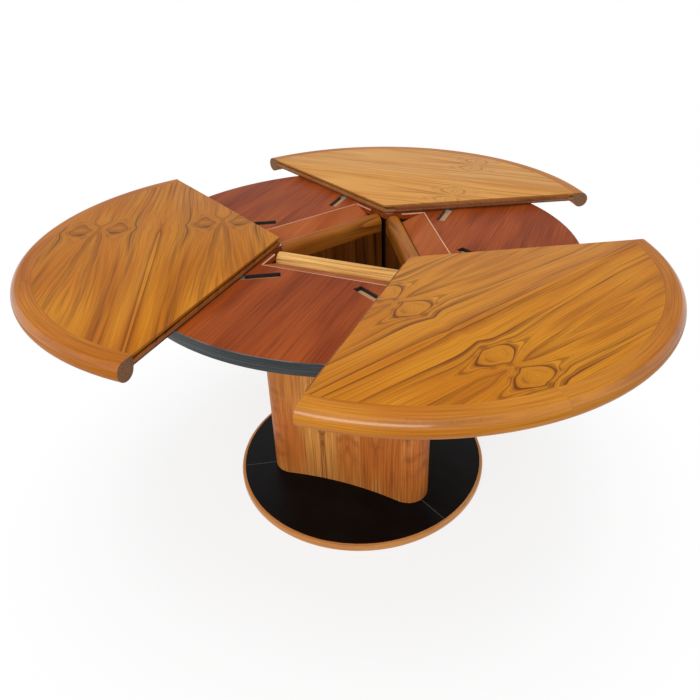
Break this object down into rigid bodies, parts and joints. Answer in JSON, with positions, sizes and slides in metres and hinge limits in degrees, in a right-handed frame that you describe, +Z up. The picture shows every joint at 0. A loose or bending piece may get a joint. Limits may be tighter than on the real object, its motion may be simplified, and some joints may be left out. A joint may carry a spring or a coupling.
{
  "type": "round extending dining table",
  "caption": "Round pedestal dining table whose top splits into sliding sectors over a fixed board, with leaves stored upright in a hollow triangular column on a black disc base.",
  "frame": {"origin": "on the floor, on the column's axis, under the point where the closed sectors meet", "axes": "+Z up; the sectors slide out towards 90, 210 and 330 degrees from +X, the leaves stand at 270, 30 and 150 degrees, so -Y is the front face of the column"},
  "size_m": [1.5376, 1.4925, 0.75],
  "materials": {
    "felt": "pressed dark grey felt",
    "steel": "plain satin steel",
    "board_core": "raw particle board",
    "teak_edge": "oiled teak edging, rounded, satin",
    "pale_inlay": "raw light wood strip",
    "black_laminate": "glossy black laminate with fine scratches",
    "teak_column": "teak veneer with upright brown-streaked grain, satin",
    "black_guide": "matt black",
    "hardwood": "plain hardwood",
    "mahogany": "mahogany veneer, straight grain, satin lacquer",
    "black_edge": "black edge band, half gloss",
    "glide": "dark nylon",
    "teak_top": "book-matched teak veneer, golden orange, satin lacquer",
    "teak_rim": "solid teak, round, satin lacquer",
    "tongue_ply": "raw plywood"
  },
  "bodies": {
    "pedestal": {"base_felt": "felt", "base_ballast": "steel", "base_board": "board_core", "base_edge": "teak_edge", "base_seams": "pale_inlay", "leaf_guides": "black_guide", "column_head": "mahogany", "tie_rods": "steel", "tie_nuts": "steel", "lower_board": "mahogany", "upper_board": "mahogany", "edge_band": "black_edge", "recess_inlays": "pale_inlay", "recess_floors": "mahogany", "slot_liners": "black_guide", "corner_brackets": "steel", "bracket_screws": "steel", "board_screws": "steel", "base_top_front": "black_laminate", "column_panel_front": "teak_column", "leaf_rest_front": "hardwood", "base_top_right": "black_laminate", "column_panel_right": "teak_column", "leaf_rest_right": "hardwood", "base_top_left": "black_laminate", "column_panel_left": "teak_column", "leaf_rest_left": "hardwood", "column_post_left": "teak_column", "column_post_right": "teak_column", "column_post_back": "teak_column"},
    "sector_left": {"sector_panel_left": "teak_top", "sector_rim_left": "teak_rim", "sector_tongue_left": "tongue_ply", "sector_glides_left": "glide", "guide_pins_left": "steel"},
    "runner_left": {"runner_bars_left": "steel", "runner_blocks_left": "steel"},
    "sector_right": {"sector_panel_right": "teak_top", "sector_rim_right": "teak_rim", "sector_tongue_right": "tongue_ply", "sector_glides_right": "glide", "guide_pins_right": "steel"},
    "runner_right": {"runner_bars_right": "steel", "runner_blocks_right": "steel"},
    "sector_back": {"sector_panel_back": "teak_top", "sector_rim_back": "teak_rim", "sector_tongue_back": "tongue_ply", "sector_glides_back": "glide", "guide_pins_back": "steel"},
    "runner_back": {"runner_bars_back": "steel", "runner_blocks_back": "steel"},
    "leaf_front": {"leaf_panel_front": "teak_top", "leaf_rim_front": "teak_rim", "leaf_tongue_front": "tongue_ply"},
    "leaf_right": {"leaf_panel_right": "teak_top", "leaf_rim_right": "teak_rim", "leaf_tongue_right": "tongue_ply"},
    "leaf_left": {"leaf_panel_left": "teak_top", "leaf_rim_left": "teak_rim", "leaf_tongue_left": "tongue_ply"}
  },
  "joints": [
    {"name": "sector_left_slide", "type": "slide", "parent": "pedestal", "child": "sector_left", "axis": [0.866, 0.5, 0], "range_m": [0, 0.195]},
    {"name": "runner_left_slide", "type": "slide", "parent": "pedestal", "child": "runner_left", "axis": [0.866, 0.5, 0], "range_m": [0, 0.079]},
    {"name": "sector_right_slide", "type": "slide", "parent": "pedestal", "child": "sector_right", "axis": [-0.866, 0.5, 0], "range_m": [0, 0.195]},
    {"name": "runner_right_slide", "type": "slide", "parent": "pedestal", "child": "runner_right", "axis": [-0.866, 0.5, 0], "range_m": [0, 0.079]},
    {"name": "sector_back_slide", "type": "slide", "parent": "pedestal", "child": "sector_back", "axis": [0, -1, 0], "range_m": [0, 0.195]},
    {"name": "runner_back_slide", "type": "slide", "parent": "pedestal", "child": "runner_back", "axis": [0, -1, 0], "range_m": [0, 0.079]},
    {"name": "leaf_front_lift", "type": "slide", "parent": "pedestal", "child": "leaf_front", "axis": [0, 0, 1], "range_m": [0, 0.75]},
    {"name": "leaf_right_lift", "type": "slide", "parent": "pedestal", "child": "leaf_right", "axis": [0, 0, 1], "range_m": [0, 0.75]},
    {"name": "leaf_left_lift", "type": "slide", "parent": "pedestal", "child": "leaf_left", "axis": [0, 0, 1], "range_m": [0, 0.75]}
  ],
  "couplings": [
    {"joint": "runner_left_slide", "follows": "sector_left_slide", "ratio": 0.405},
    {"joint": "runner_right_slide", "follows": "sector_right_slide", "ratio": 0.405},
    {"joint": "runner_back_slide", "follows": "sector_back_slide", "ratio": 0.405}
  ]
}
